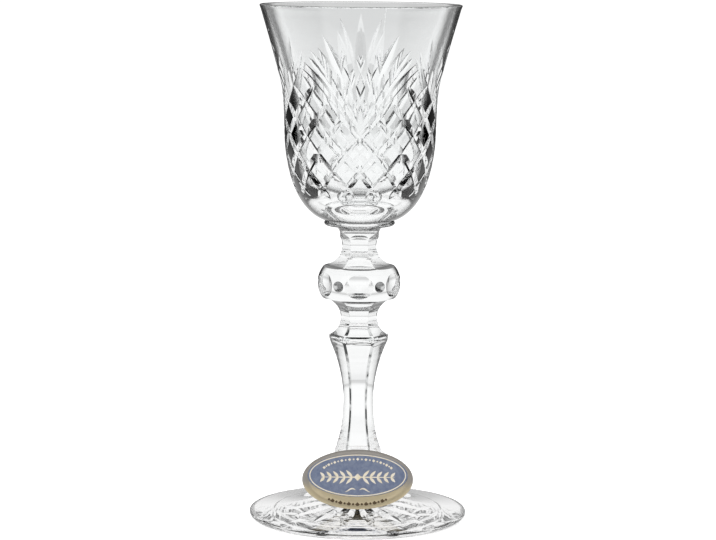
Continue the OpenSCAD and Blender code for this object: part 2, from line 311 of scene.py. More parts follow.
class StudioSettings(bpy.types.PropertyGroup):
    """The camera's settings."""

    lens: bpy.props.FloatProperty(
        name="Lens", description="Focal length in millimetres on a 36 mm sensor", default=125.83)
    distance: length(0.64078, "Distance", "Distance from the camera to the glass's axis")
    eye_height: length(0.15175, "Eye height", "Height of the camera above the table")
    aim_height: length(0.06464, "Aim height", "Height of the point that the camera looks at")
    roll: rotation(0.42, "Roll", "Turn of the camera about its own axis")
    side_step: length(0.0003, "Side step", "Distance of the camera to the left of the glass's axis")


def deselect():
    """Leaves nothing selected, because an operator acts on all that is."""
    bpy.ops.object.select_all(action="DESELECT")


def make_active(piece):
    """Selects one object alone."""
    deselect()
    piece.select_set(True)
    bpy.context.view_layer.objects.active = piece


def add_mesh(name, primitive, **facts):
    """Adds one of Blender's primitive meshes under a name, alone in the selection."""
    deselect()
    primitive(**facts)
    piece = bpy.context.object
    piece.name = name
    return piece


def apply_place():
    """Writes the place, turn and scale of what is selected into its mesh."""
    bpy.ops.object.transform_apply(location=True, rotation=True, scale=True)


def in_edit_mode(piece, *steps):
    """Runs edit-mode steps on a whole mesh."""
    make_active(piece)
    bpy.ops.object.mode_set(mode="EDIT")
    bpy.ops.mesh.select_all(action="SELECT")
    for step in steps:
        step()
    bpy.ops.object.mode_set(mode="OBJECT")


def merge_doubles():
    """Joins the points that lie on each other."""
    bpy.ops.mesh.remove_doubles(threshold=1e-6)


def drop_slivers():
    """Removes edges and faces without size."""
    bpy.ops.mesh.dissolve_degenerate(threshold=1e-7)


def face_outwards():
    """Turns every face of the closed mesh outwards."""
    bpy.ops.mesh.normals_make_consistent(inside=False)


def curve(points, steps):
    """Samples a cubic curve through four control points."""
    found = []
    for i in range(steps + 1):
        t = i / steps
        weights = ((1 - t) ** 3, 3 * t * (1 - t) ** 2, 3 * t * t * (1 - t), t ** 3)
        found.append(tuple(sum(w * p[k] for w, p in zip(weights, points)) for k in (0, 1)))
    return found


def arc(middle, half_width, half_height, first, last, steps):
    """Points of an oval arc round its middle, from one angle to another."""
    angles = [first + (last - first) * i / steps for i in range(steps + 1)]
    return [(middle[0] + half_width * math.cos(a), middle[1] + half_height * math.sin(a)) for a in angles]


def around(reach, angle, height):
    """The point at a distance from the glass's axis, at an angle round it and at a height."""
    return Vector((reach * math.cos(angle), reach * math.sin(angle), height))


def lathe(name, profile, steps):
    """Spins an outline of (radius, height) points, from the axis back to the axis, into a closed solid."""
    piece = add_mesh(name, bpy.ops.mesh.primitive_circle_add, vertices=len(profile), radius=0.01)
    for vertex, (radius, height) in zip(piece.data.vertices, profile):
        vertex.co = (radius, 0, height)
    last = len(profile) - 1
    bpy.ops.object.mode_set(mode="EDIT")
    bpy.ops.mesh.select_mode(type="EDGE")
    bpy.ops.mesh.select_all(action="DESELECT")
    bpy.ops.object.mode_set(mode="OBJECT")
    for edge in piece.data.edges:
        edge.select = set(edge.vertices) == {0, last}
    bpy.ops.object.mode_set(mode="EDIT")
    bpy.ops.mesh.delete(type="EDGE")
    bpy.ops.mesh.select_all(action="SELECT")
    bpy.ops.mesh.spin(steps=steps, angle=TAU, center=(0, 0, 0), axis=(0, 0, 1))
    bpy.ops.mesh.select_all(action="SELECT")
    merge_doubles()
    drop_slivers()
    face_outwards()
    bpy.ops.object.mode_set(mode="OBJECT")
    return piece


def join(pieces, name):
    """Joins several tools into one object, so that one boolean makes all their cuts."""
    deselect()
    for piece in pieces:
        piece.select_set(True)
    bpy.context.view_layer.objects.active = pieces[0]
    if len(pieces) > 1:
        bpy.ops.object.join()
    pieces[0].name = name
    return pieces[0]


def grind(piece, tool, operation="DIFFERENCE"):
    """Cuts one piece with one tool and throws the tool away."""
    make_active(piece)
    cut = piece.modifiers.new("Grind", "BOOLEAN")
    cut.operation = operation
    cut.solver = "MANIFOLD"
    cut.object = tool
    bpy.ops.object.modifier_apply(modifier=cut.name)
    bpy.data.objects.remove(tool)


def soften_edges(piece, width, low, high):
    """Acid polishing rounds the sharp edges between two heights a little."""
    in_edit_mode(piece, merge_doubles)
    make_active(piece)
    bpy.ops.object.mode_set(mode="EDIT")
    bpy.ops.mesh.select_mode(type="EDGE")
    bpy.ops.mesh.select_all(action="DESELECT")
    bpy.ops.mesh.edges_select_sharp(sharpness=SHARP_TURN)
    bpy.ops.object.mode_set(mode="OBJECT")
    mesh = piece.data
    for edge in mesh.edges:
        if edge.select and not all(low < mesh.vertices[v].co.z < high for v in edge.vertices):
            edge.select = False
    bpy.ops.object.mode_set(mode="EDIT")
    bpy.ops.mesh.bevel(offset=width, segments=3, affect="EDGES", clamp_overlap=False)
    bpy.ops.mesh.select_mode(type="VERT")
    bpy.ops.object.mode_set(mode="OBJECT")


def wheel_groove(name, rows):
    """Makes a cutting tool with a V section from rows of (left, tip, right) points."""
    tool = add_mesh(
        name, bpy.ops.mesh.primitive_grid_add,
        x_subdivisions=3, y_subdivisions=len(rows) - 1, size=0.01)
    for i, (left, tip, right) in enumerate(rows):
        for j, point in enumerate((left, tip, right, left)):
            tool.data.vertices[i * 4 + j].co = point
    in_edit_mode(tool, merge_doubles, drop_slivers, face_outwards)
    return tool


class BellForm:
    """The bell's outer and inner outlines, in metres, and points on its outer face."""

    def __init__(self, glass, cuts):
        self.half_fan = math.pi / cuts.fans
        self.valley = glass.height - cuts.peak_drop - cuts.valley_height
        self.peak_rise = cuts.valley_height
        self.lattice_end = glass.height - glass.bowl_height + cuts.lattice_foot
        self.base = glass.height - glass.bowl_height
        self.top = glass.height
        waist = self.base + glass.bowl_height * WAIST_SHARE
        low = waist - self.base
        high = self.top - waist
        rim = glass.rim_diameter / 2
        middle = glass.waist_diameter / 2
        seat = glass.seat_diameter / 2
        belly = self.base + low * BELLY_TOP

        def wall(start, tangent, belly, middle, rim):
            """One wall, from its lower end through the belly and the waist to the rim."""
            lower = curve((start, tangent, (middle, belly), (middle, waist)), CURVE_STEPS)
            upper = curve((
                (middle, waist), (middle, waist + high * FLARE_LOW),
                (middle + (rim - middle) * FLARE_REACH, waist + high * FLARE_HIGH), (rim, self.top)),
                CURVE_STEPS)
            return lower + upper[1:]

        tangent = (seat + (middle - seat) * BELLY_REACH, self.base + low * BELLY_RISE)
        self.outer = wall((seat, self.base), tangent, belly, middle, rim)
        middle -= glass.waist_wall
        floor = self.base + glass.floor
        tangent = (middle * FLOOR_REACH, floor)
        self.inner = wall((0, floor), tangent, belly + glass.waist_wall / 2, middle, rim - glass.lip_wall)

    def radius(self, height):
        """Outer radius at a height."""
        for (r0, z0), (r1, z1) in zip(self.outer, self.outer[1:]):
            if z0 <= height <= z1:
                return r0 + (r1 - r0) * (height - z0) / max(z1 - z0, 1e-12)
        return self.outer[-1][0] if height > self.top else self.outer[0][0]

    def face(self, angle, height):
        """A point of the outer face and the direction straight out of it."""
        step = 0.0006
        slope = (self.radius(height + step) - self.radius(height - step)) / (2 * step)
        radius = self.radius(height)
        return around(radius, angle, height), around(1, angle, -slope).normalized()

    def border(self, angle):
        """Height of the zigzag line between the fans and the lattice at an angle from the front."""
        turn = abs((angle + self.half_fan) % (2 * self.half_fan) - self.half_fan)
        return self.valley + self.peak_rise * turn / self.half_fan

    def is_outer(self, face):
        """A face of the outer wall, clear of the seat and the lip."""
        x, y, z = face.center
        outwards = face.normal.x * x + face.normal.y * y > 0
        return outwards and self.base + WALL_MARGIN < z < self.top - WALL_MARGIN

    def is_groove(self, face):
        """A face of a cut, told by its tilt against the blown wall."""
        x, y, z = face.center
        point, out = self.face(math.atan2(y, x), z)
        return self.is_outer(face) and face.normal.dot(out) < math.cos(CUT_TILT)

    def is_lozenge(self, face):
        """A face of the lozenges that the lattice leaves standing, or of the lattice itself."""
        x, y, z = face.center
        return self.is_outer(face) and self.lattice_end < z < self.border(math.atan2(y, x) - FRONT)


def groove_rows(places, depths, angle):
    """Rows of a V groove through (point, outward direction) places, cut to their depths by a wheel whose
    edge opens by twice the angle."""
    rows = []
    for i, ((point, out), depth) in enumerate(zip(places, depths)):
        before = places[max(i - 1, 0)][0]
        after = places[min(i + 1, len(places) - 1)][0]
        side = out.cross(after - before).normalized() * (max(depth + LIFT, 0) * math.tan(angle))
        mouth = point + out * (LIFT if depth > -LIFT else -depth)
        rows.append((mouth - side, point - out * depth, mouth + side))
    return rows


def spindle_cut(name, place, depth, angle):
    """A spindle-shaped cut, deepest halfway, along place(share). It runs on past both its ends, where its
    tool has risen clear of the glass."""
    over = (math.sqrt(1 + LIFT / depth) - 1) / 2
    shares = [-over + (1 + 2 * over) * n / CUT_STEPS for n in range(CUT_STEPS + 1)]
    depths = [depth * (1 - (2 * share - 1) ** 2) for share in shares]
    return wheel_groove(name, groove_rows([place(share) for share in shares], depths, angle))


class GLASS_OT_bowl(bpy.types.Operator):
    """Blows the bell bowl and cuts its fans of leaves and its lattice"""

    bl_idname = "glass.bowl"
    bl_label = "Bowl"

    def execute(self, context):
        glass = context.scene.glass_sizes
        cuts = context.scene.glass_cuts
        form = BellForm(glass, cuts)
        lip = self.rounded_lip(form)
        profile = [(0, form.base)] + form.outer[:-1] + lip + form.inner[-2::-1]
        bowl = lathe("cut_bowl", profile, LATHE_STEPS)
        for tool in self.leaf_tools(form, cuts) + self.lattice_tools(form, cuts):
            grind(bowl, tool)
        finish_glass(
            bowl, "bowl", (form.base,), "fire-polished",
            ("wheel-cut and acid-polished", form.is_groove), ("lattice lozenge", form.is_lozenge))
        return {"FINISHED"}

    def rounded_lip(self, form):
        """Fire-polished lip: a half round between the outer and the inner wall."""
        outer, inner = form.outer[-1], form.inner[-1]
        middle = (outer[0] + inner[0]) / 2
        half = (outer[0] - inner[0]) / 2
        crown = half * 0.55
        return arc((middle, form.top - crown), half, crown, 0, math.pi, 8)

    def leaf_tools(self, form, cuts):
        """Spindle-shaped marks of the mitre wheel, in two sets whose members don't touch."""
        fan_height = form.top - cuts.leaf_drop - form.valley
        sets = ([], [])
        for fan in range(cuts.fans):
            for k in range(-3, 4):
                i = abs(k)
                low = form.valley + fan_height * LEAF_ROOTS[i]
                high = form.valley + fan_height * LEAF_TIPS[i]
                far = math.copysign(form.half_fan * LEAF_ANGLES[i], k)
                near = far * LEAF_ROOTS[i] / LEAF_TIPS[i]

                def place(share):
                    turn = fan * 2 * form.half_fan + near + (far - near) * share
                    return form.face(FRONT + turn, low + (high - low) * share)

                depth = cuts.leaf_depth * LEAF_DEPTHS[i]
                sets[i % 2].append(spindle_cut("leaf", place, depth, cuts.leaf_angle))
        return [join(tools, "leaf_set") for tools in sets]

    def lattice_tools(self, form, cuts):
        """Long V lines that fall from the zigzag border to the lower end, one set for each direction. The
        two directions differ in their steps, so that no two edges meet where the lines cross."""
        peak = form.top - cuts.peak_drop
        fall = cuts.valley_height / form.half_fan
        sets = []
        for side, steps in LATTICE_STEPS:
            tools = []
            for fan in range(cuts.fans):
                for k in range(cuts.lines):
                    start = peak - cuts.valley_height * k / cuts.lines
                    first = form.half_fan - k * form.half_fan / cuts.lines
                    places, depths = [], []
                    for n in range(steps + 1):
                        share = n / steps
                        height = start + (form.lattice_end - start) * share
                        angle = fan * 2 * form.half_fan + side * (first + (start - height) / fall)
                        places.append(form.face(FRONT + angle, height))
                        ends = abs(2 * share - 1) ** LATTICE_ENDS
                        depths.append(cuts.line_depth - (cuts.line_depth + LIFT) * ends)
                    tools.append(wheel_groove("line", groove_rows(places, depths, cuts.line_angle)))
            sets.append(join(tools, "line_set"))
        return sets


class GLASS_OT_collar(bpy.types.Operator):
    """Turns the collar between bowl and stem"""

    bl_idname = "glass.collar"
    bl_label = "Collar"

    def execute(self, context):
        glass = context.scene.glass_sizes
        top = glass.height - glass.bowl_height
        shelf = top - glass.collar_thickness
        base = shelf - glass.boss_height
        rim = glass.collar_diameter / 2
        edge = glass.collar_thickness / 2
        round_edge = arc((rim - edge, shelf + edge), edge, edge, -math.pi / 2, math.pi / 2, 12)
        heights = (base, base + glass.boss_height * 0.75, shelf - glass.boss_height * 0.1, shelf)
        boss = curve(tuple(zip(BOSS_RADII, heights)), 14)
        profile = [(0, base)] + boss + round_edge + [(0, top)]
        collar = lathe("collar_disc", profile, STEM_STEPS)
        finish_glass(collar, "collar", (base, top), "fire-polished")
        return {"FINISHED"}


def flat_tools(across, wheel, height, width):
    """Wheels laid across the stem at a height, in opposite pairs that don't touch."""
    pairs = []
    for i in range(SIDES // 2):
        pair = []
        for angle in (FRONT + i * TAU / SIDES, FRONT + i * TAU / SIDES + math.pi):
            pair.append(add_mesh(
                "flat_wheel", bpy.ops.mesh.primitive_cylinder_add, vertices=256, radius=wheel, depth=width,
                location=around(across / 2 + wheel, angle, height), rotation=(math.pi / 2, 0, angle)))
        pairs.append(join(pair, "flat_wheels"))
        make_active(pairs[-1])
        apply_place()
    return pairs


def ball_tools(radius, reach, height, turn):
    """Ball-shaped wheels round the knop."""
    balls = []
    for i in range(SIDES):
        angle = FRONT + turn + i * TAU / SIDES
        balls.append(add_mesh(
            "ball_wheel", bpy.ops.mesh.primitive_uv_sphere_add, segments=192, ring_count=96, radius=radius,
            location=around(reach, angle, height), rotation=(0, math.pi / 2, angle)))
        apply_place()
    return balls


def stem_heights(glass):
    """Heights of the seams: foot to leg, leg to knop, knop to collar."""
    knop_top = glass.height - glass.bowl_height - glass.collar_thickness - glass.boss_height
    knop_base = knop_top - glass.knop_height
    return knop_base - glass.leg_height, knop_base, knop_top


class GLASS_OT_knop(bpy.types.Operator):
    """Grinds the knop with its two necks"""

    bl_idname = "glass.knop"
    bl_label = "Knop"

    def execute(self, context):
        glass = context.scene.glass_sizes
        base, top = stem_heights(glass)[1:]
        middle = base + KNOP_MIDDLE
        reach = glass.knop_diameter / 2
        ring = reach - KNOP_SIDE
        first = -math.acos((LOW_SEAM - ring) / KNOP_SIDE)
        last = math.acos((HIGH_SEAM - ring) / KNOP_SIDE)
        ball = arc((ring, middle), KNOP_SIDE, KNOP_SIDE, first, last, 48)
        profile = [(0, base), (LOW_SEAM, base), *ball, (HIGH_SEAM, top), (0, top)]
        knop = lathe("ball_knop", profile, STEM_STEPS)
        dot_reach = reach - DOT_DEPTH + DOT_WHEEL
        for tool in (
                *flat_tools(UPPER_NECK, NECK_WHEEL, top - UPPER_NECK_DROP, NECK_WHEEL_WIDTH),
                *flat_tools(LOWER_NECK, NECK_WHEEL, base + LOWER_NECK_RISE, NECK_WHEEL_WIDTH),
                *ball_tools(THUMB_WHEEL, reach - THUMB_DEPTH + THUMB_WHEEL, middle, 0),
                *ball_tools(DOT_WHEEL, dot_reach, middle, math.pi / 6)):
            grind(knop, tool)

        def is_dot(face):
            """A face of the small hollows, which keep the mark of their wheel."""
            turn = math.atan2(face.center.y, face.center.x)
            turn = math.radians(60) * round(turn / math.radians(60))
            wheel = around(dot_reach, turn, middle)
            return (face.center - wheel).length < DOT_WHEEL + 0.000002

        finish_glass(knop, "knop", (base, top), "fire-polished", ("small hollow", is_dot))
        return {"FINISHED"}


def leg_wheels(glass):
    """The large wheels that hollowed the leg's flats."""
    base = stem_heights(glass)[0]
    return flat_tools(LEG_WAIST, LEG_WHEEL, base + LEG_WAIST_RISE, LEG_WHEEL_WIDTH)


class GLASS_OT_leg(bpy.types.Operator):
    """Grinds the six-sided leg and its shoulder"""

    bl_idname = "glass.leg"
    bl_label = "Leg"

    def execute(self, context):
        glass = context.scene.glass_sizes
        base, top = stem_heights(glass)[:2]
        profile = [
            (0, base), (LEG_SEAT, base), (LEG_BLANK, base + LEG_WAIST_RISE),
            (LEG_BLANK, top - LOWER_NECK_RISE), (LOW_SEAM, top), (0, top)]
        leg = lathe("fluted_leg", profile, STEM_STEPS)
        neck = flat_tools(LOWER_NECK, NECK_WHEEL, top + LOWER_NECK_RISE, NECK_WHEEL_WIDTH)
        for tool in neck + leg_wheels(glass):
            grind(leg, tool)
        soften_edges(leg, ARRIS_WIDTH, base + SEAM_CLEAR, top - SEAM_CLEAR)
        widest = max(leg.data.vertices, key=lambda vertex: vertex.co.xy.length)
        shoulder = widest.co.z

        def is_arris(face):
            """A face between two flats and clear of the shoulder, whose normal points at neither flat."""
            if abs(face.center.z - shoulder) < SHOULDER_CLEAR or abs(face.normal.z) > 0.8:
                return False
            turn = math.degrees(math.atan2(face.normal.y, face.normal.x)) - 30
            return abs(turn - 60 * round(turn / 60)) > 4

        finish_glass(leg, "leg", (base, top), "fire-polished", ("rounded arris", is_arris))
        return {"FINISHED"}


class GLASS_OT_foot(bpy.types.Operator):
    """Turns the foot and cuts the star under it"""

    bl_idname = "glass.foot"
    bl_label = "Foot"

    def execute(self, context):
        glass = context.scene.glass_sizes
        top = stem_heights(glass)[0]
        rim = glass.foot_diameter / 2
        edge = glass.foot_edge
        recess = rim - STAND_RING - edge
        slope = curve((
            (rim - edge * 0.3, edge), (rim * 0.39, edge * 1.9),
            (LEG_SEAT * 1.05, edge * 2.65), (LEG_SEAT, top)), 40)
        nose = curve((
            (rim - edge, 0), (rim, 0), (rim + edge * 0.1, edge), (rim - edge * 0.3, edge)), 12)
        profile = [(0, RECESS), (recess - RECESS, RECESS), (recess, 0), (rim - edge, 0)]
        profile += nose[1:-1] + slope + [(0, top)]
        foot = lathe("star_foot", profile, LATHE_STEPS)
        for tool in self.star_tools() + self.neck_tools(glass, top):
            grind(foot, tool)
        finish_glass(foot, "foot", (top,), "pressed foot", ("ground star", self.is_ray))
        return {"FINISHED"}

    def is_ray(self, face):
        """A sloping face on the foot's underside, inside the ring that it stands on."""
        low = face.center.z < RECESS + STAR_DEPTH + 0.0003
        return low and -0.97 < face.normal.z < -0.2 and face.center.xy.length < STAR_TIP + 0.001

    def star_tools(self):
        """The star's rays, in two sets whose members don't touch."""
        sets = ([], [])
        for i in range(STAR_RAYS):
            angle = FRONT + (i + 0.5) * TAU / STAR_RAYS

            def place(share):
                reach = STAR_ROOT + (STAR_TIP - STAR_ROOT) * share
                return around(reach, angle, RECESS), Vector((0, 0, -1))

            sets[i % 2].append(spindle_cut("ray", place, STAR_DEPTH, STAR_ANGLE))
        return [join(tools, "ray_set") for tools in sets]

    def neck_tools(self, glass, top):
        """The leg's wheels, kept to the foot's neck."""
        tools = leg_wheels(glass)
        for tool in tools:
            block = add_mesh(
                "neck_block", bpy.ops.mesh.primitive_cube_add,
                size=1, location=(0, 0, top), scale=(0.2, 0.2, 0.012))
            apply_place()
            grind(tool, block, "INTERSECT")
        return tools


def colour(code):
    """Turns an sRGB hex value into the linear colour that a shader takes."""
    values = []
    for i in (1, 3, 5):
        v = int(code[i:i + 2], 16) / 255
        values.append(v / 12.92 if v <= 0.04045 else ((v + 0.055) / 1.055) ** 2.4)
    return (*values, 1)


def add_node(tree, kind, inputs=None, **settings):
    """Adds a shader node with its settings. An input takes a plain value, an output that it is linked to,
    or a node, which stands for that node's first output."""
    node = tree.nodes.new("ShaderNode" + kind)
    for key, value in settings.items():
        setattr(node, key, value)
    for key, source in (inputs or {}).items():
        if isinstance(source, bpy.types.Node):
            source = source.outputs[0]
        if isinstance(source, bpy.types.NodeSocket):
            tree.links.new(source, node.inputs[key])
        else:
            node.inputs[key].default_value = source
    return node


def material(name, build, *facts):
    """The material of that name. Its nodes are built the first time that it is asked for."""
    found = bpy.data.materials.get(name)
    if not found:
        found = bpy.data.materials.new(name)
        found.use_nodes = True
        tree = found.node_tree
        tree.nodes.clear()
        add_node(tree, "OutputMaterial", {"Surface": build(tree, *facts)})
    return found


def uneven_face(tree, scale, detail, roughness, strength, depth):
    """A noise in the piece's own space and the bump that it makes, with its depth in metres."""
    place = add_node(tree, "TexCoord").outputs["Object"]
    noise = add_node(
        tree, "TexNoise", {"Vector": place, "Scale": scale, "Detail": detail, "Roughness": roughness})
    bump = add_node(tree, "Bump", {"Height": noise, "Strength": strength, "Distance": depth})
    return place, noise, bump


def crystal_with_painted_edge_shade(tree, clear, edge, start, full, uneven):
    """Lead crystal, mouth-blown, wheel-cut and acid-polished: clear, heavy glass whose polished faces still
    show a faint ripple about 6 mm long. Its colour carries painted edge shade: it is mixed towards a dark
    colour where a face turns away from the view, so edges and steep cuts are painted dark."""
    place, _, bump = uneven_face(
        tree, scale=160.0, detail=2.0, roughness=0.45, strength=0.05, depth=0.0004)
    facing = add_node(tree, "LayerWeight", {"Blend": 0.5}).outputs["Facing"]
    # Painted shade: the more a face turns from the view, the further the glass's colour is mixed towards
    # the dark edge colour, in uneven patches.
    painted_edge_shade = add_node(tree, "MapRange", {0: facing, 1: start, 2: full}, **SMOOTH)
    shade_noise = add_node(tree, "TexNoise", {"Vector": place, "Scale": 210.0, "Detail": 3.0, "Roughness": 0.6})
    share = add_node(tree, "MapRange", {0: shade_noise, 1: 0.42, 2: 0.56, 3: 1.0 - uneven}, **SMOOTH)
    shade_amount = add_node(tree, "Math", {0: painted_edge_shade, 1: share}, operation="MULTIPLY")
    shaded_colour = add_node(tree, "Mix", {0: shade_amount, 6: colour(clear), 7: colour(edge)}, data_type="RGBA")
    return add_node(tree, "BsdfPrincipled", {
        "Base Color": shaded_colour.outputs[2], "Normal": bump,
        "Roughness": 0.0, "IOR": 1.545, "Transmission Weight": 1.0})


def crystal(finish):
    """Lead crystal with one of the finishes above, and that finish's painted edge shade."""
    return material("lead crystal with painted edge shade, " + finish, crystal_with_painted_edge_shade, *CRYSTAL_AND_EDGE_SHADE[finish])


def hot_stamped_foil(tree, seal):
    """Aluminium foil with a gilt lacquer, hot-stamped and rolled: a satin metal with a fine grain, whose
    gilt is warm on the lower band and turns to a darker grey gilt towards the top, blotchy where it
    changes."""
    place, _, bump = uneven_face(
        tree, scale=5200.0, detail=2.0, roughness=0.5, strength=0.25, depth=0.00002)
    gilt_mottle = add_node(tree, "TexNoise", {"Vector": place, "Scale": 420.0, "Detail": 3.0, "Roughness": 0.6})
    split = add_node(tree, "SeparateXYZ", {0: place})
    # The gilt turns greyer and darker with height up the seal, with blotches where it changes.
    height = add_node(
        tree, "MapRange", {0: split.outputs["Z"], 1: seal.band_low, 2: seal.band_high}, **SMOOTH)
    mottle_shift = add_node(tree, "Math", {0: gilt_mottle, 1: 0.5, 2: -0.25}, operation="MULTIPLY_ADD", use_clamp=True)
    blend = add_node(tree, "Math", {0: height, 1: mottle_shift}, operation="ADD", use_clamp=True)
    gilt = add_node(
        tree, "Mix", {0: blend, 6: colour(seal.gilt), 7: colour(seal.upper_gilt)}, data_type="RGBA")
    rough = add_node(tree, "MapRange", {0: gilt_mottle, 1: 0.3, 2: 0.7, 3: 0.34, 4: 0.5})
    return add_node(tree, "BsdfPrincipled", {
        "Base Color": gilt.outputs[2], "Roughness": rough, "Normal": bump, "Metallic": 0.55})


def ink_on_foil(tree, code, pale_code, roughness):
    """Ink printed on foil: thin, a little uneven, so the foil shows through as a paler mottling about 1 mm
    across, under a thin clear lacquer."""
    _, mottle, bump = uneven_face(
        tree, scale=900.0, detail=4.0, roughness=0.65, strength=0.2, depth=0.00002)
    share = add_node(tree, "MapRange", {0: mottle, 1: 0.35, 2: 0.75})
    ink = add_node(tree, "Mix", {0: share, 6: colour(code), 7: colour(pale_code)}, data_type="RGBA")
    return add_node(tree, "BsdfPrincipled", {
        "Base Color": ink.outputs[2], "Normal": bump,
        "Roughness": roughness, "Coat Weight": 0.25, "Coat Roughness": 0.2})


def hot_seam(tree):
    """The hot-fused seam between two gathers: the glass runs on, so light passes straight through."""
    return add_node(tree, "BsdfTransparent")


def by_ray(tree, plain, camera, glossy, transmission):
    """One shader for what the camera sees straight, one for what is mirrored, one for what is seen through
    glass, and a plain one for every other ray."""
    path = add_node(tree, "LightPath")
    chosen = plain
    for kind, shader in (("Camera", camera), ("Glossy", glossy), ("Transmission", transmission)):
        chosen = add_node(tree, "MixShader", {0: path.outputs[f"Is {kind} Ray"], 1: chosen, 2: shader})
    return chosen


def finish_glass(piece, node, seams, skin, *finishes):
    """Shades a glass piece and puts it in the node's place. Beside its skin and its fused faces it may have
    more finishes, each with the test that finds its faces; the first test that holds counts. Each crystal
    finish brings its own strength of painted edge shade."""
    in_edit_mode(piece, merge_doubles)
    piece.data.materials.clear()
    piece.data.materials.append(crystal(skin))
    piece.data.materials.append(material("fused seam", hot_seam))
    for name, test in finishes:
        piece.data.materials.append(crystal(name))
    for face in piece.data.polygons:
        flat = abs(face.normal.z) > 0.999
        if flat and any(abs(face.center.z - seam) < 2e-5 for seam in seams):
            face.material_index = 1
            continue
        found = [i + 2 for i, (name, test) in enumerate(finishes) if test(face)]
        face.material_index = found[0] if found else 0
    make_active(piece)
    bpy.ops.object.shade_smooth_by_angle(angle=math.radians(14))
    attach(piece, BODY)
    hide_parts(node)


class SealPlane:
    """The plane of the CAD foil, which stands on the foot's slope and leans against the leg."""

    def __init__(self, seal):
        low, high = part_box("label_foil")
        run, rise = high[1] - low[1], high[2] - low[2]
        lean = math.atan2(rise, run)
        for i in range(12):
            lean = math.atan2(rise - seal.thickness * math.cos(lean), run - seal.thickness * math.sin(lean))
        self.up = Vector((0, math.cos(lean), math.sin(lean)))
        self.out = Vector((0, -math.sin(lean), math.cos(lean)))
        self.height = (rise - seal.thickness * math.cos(lean)) / math.sin(lean)
        top = Vector((0, high[1], high[2] - seal.thickness * math.cos(lean)))
        self.middle = top - self.up * self.height / 2

    def place(self, across, up, lift):
        """A point of the seal, from its middle and its back face."""
        return self.middle + Vector((across, 0, 0)) + self.up * up + self.out * lift


def oval_plate(name, plane, width, height, rise, profile):
    """Lathes a round plate from (inset, lift) steps and stretches it to an oval in the seal's plane."""
    last = max(inset for inset, lift in profile)
    outline = [(last - inset, lift) for inset, lift in profile]
    plate = lathe(name, outline, OVAL_STEPS)
    for vertex in plate.data.vertices:
        turn = math.atan2(vertex.co.y, vertex.co.x)
        inset = last - math.hypot(vertex.co.x, vertex.co.y)
        share = min(inset / last, 1)
        across = (width / 2 - inset * (1 - share) - width / 2 * share) * math.cos(turn)
        up = (height / 2 - inset * (1 - share) - height / 2 * share) * math.sin(turn)
        vertex.co = plane.place(across, rise + up, vertex.co.z)
    in_edit_mode(plate, face_outwards)
    return plate


def stroke(name, plane, path, widths, lift, crest):
    """A raised stroke that follows (across, up) places, with a sharp crest and pointed ends."""
    rows = []
    for i, ((across, up), width) in enumerate(zip(path, widths)):
        before, after = path[max(i - 1, 0)], path[min(i + 1, len(path) - 1)]
        run = Vector((after[0] - before[0], after[1] - before[1], 0)).normalized()
        if i in (0, len(path) - 1):
            width = 0
        side = (-run.y * width / 2, run.x * width / 2)
        top = lift + crest * width / max(widths)
        rows.append((
            plane.place(across + side[0], up + side[1], lift),
            plane.place(across, up, top),
            plane.place(across - side[0], up - side[1], lift)))
    return wheel_groove(name, rows)


def bead(name, plane, across, up, lift, size, crest, sides):
    """A low pyramid or dome with its base on the seal."""
    piece = add_mesh(
        name, bpy.ops.mesh.primitive_cone_add, vertices=sides, radius1=size / 2, radius2=0, depth=size)
    for vertex in piece.data.vertices:
        height = lift + crest if vertex.co.z > 0 else lift
        vertex.co = plane.place(across + vertex.co.x, up + vertex.co.y, height)
    in_edit_mode(piece, face_outwards)
    return piece


